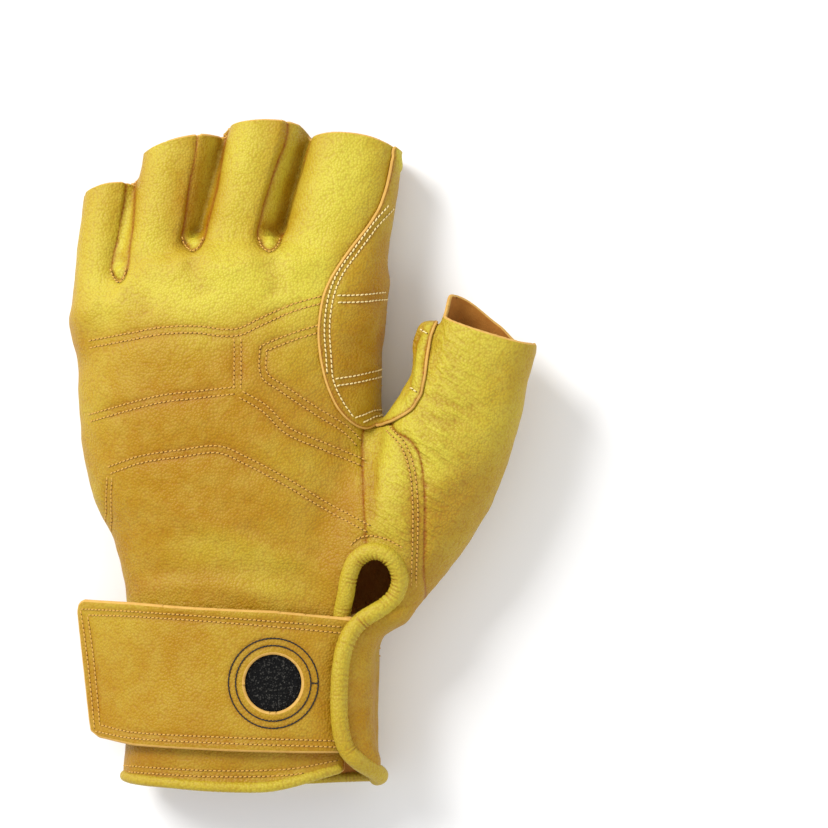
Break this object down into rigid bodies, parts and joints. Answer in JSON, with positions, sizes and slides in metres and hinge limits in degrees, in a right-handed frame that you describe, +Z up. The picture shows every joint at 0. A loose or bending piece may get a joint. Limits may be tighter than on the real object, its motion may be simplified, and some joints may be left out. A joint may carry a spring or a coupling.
{
  "type": "climbing glove",
  "caption": "Half-finger leather climbing glove for the left hand, with a doubled palm, rolled edges and a wrist strap, lying on its palm.",
  "frame": {"origin": "on the flat of the palm that the glove rests on, under the middle of the palm", "axes": "+Y towards the fingers, +X towards the thumb, +Z up through the back of the hand"},
  "size_m": [0.153, 0.2207, 0.0379],
  "materials": {
    "hand_leather": "golden goatskin with a fine pebbled grain, satin",
    "patch_leather": "the same goatskin in a second layer, satin",
    "edge_leather": "thin goatskin rolled round the edge, satin",
    "strap_leather": "smoother goatskin, two layers sewn together",
    "fastener": "black woven hook and loop"
  },
  "bodies": {
    "root": {"back_panel": "hand_leather", "palm_panel": "hand_leather", "thumb": "hand_leather", "fork_little_ring": "hand_leather", "fork_ring_middle": "hand_leather", "fork_middle_index": "hand_leather", "palm_patch": "patch_leather", "hem_binding": "edge_leather", "flap_binding": "edge_leather", "wrist_strap": "strap_leather", "strap_hook_patch": "fastener", "cuff_loop_patch": "fastener"}
  },
  "joints": []
}
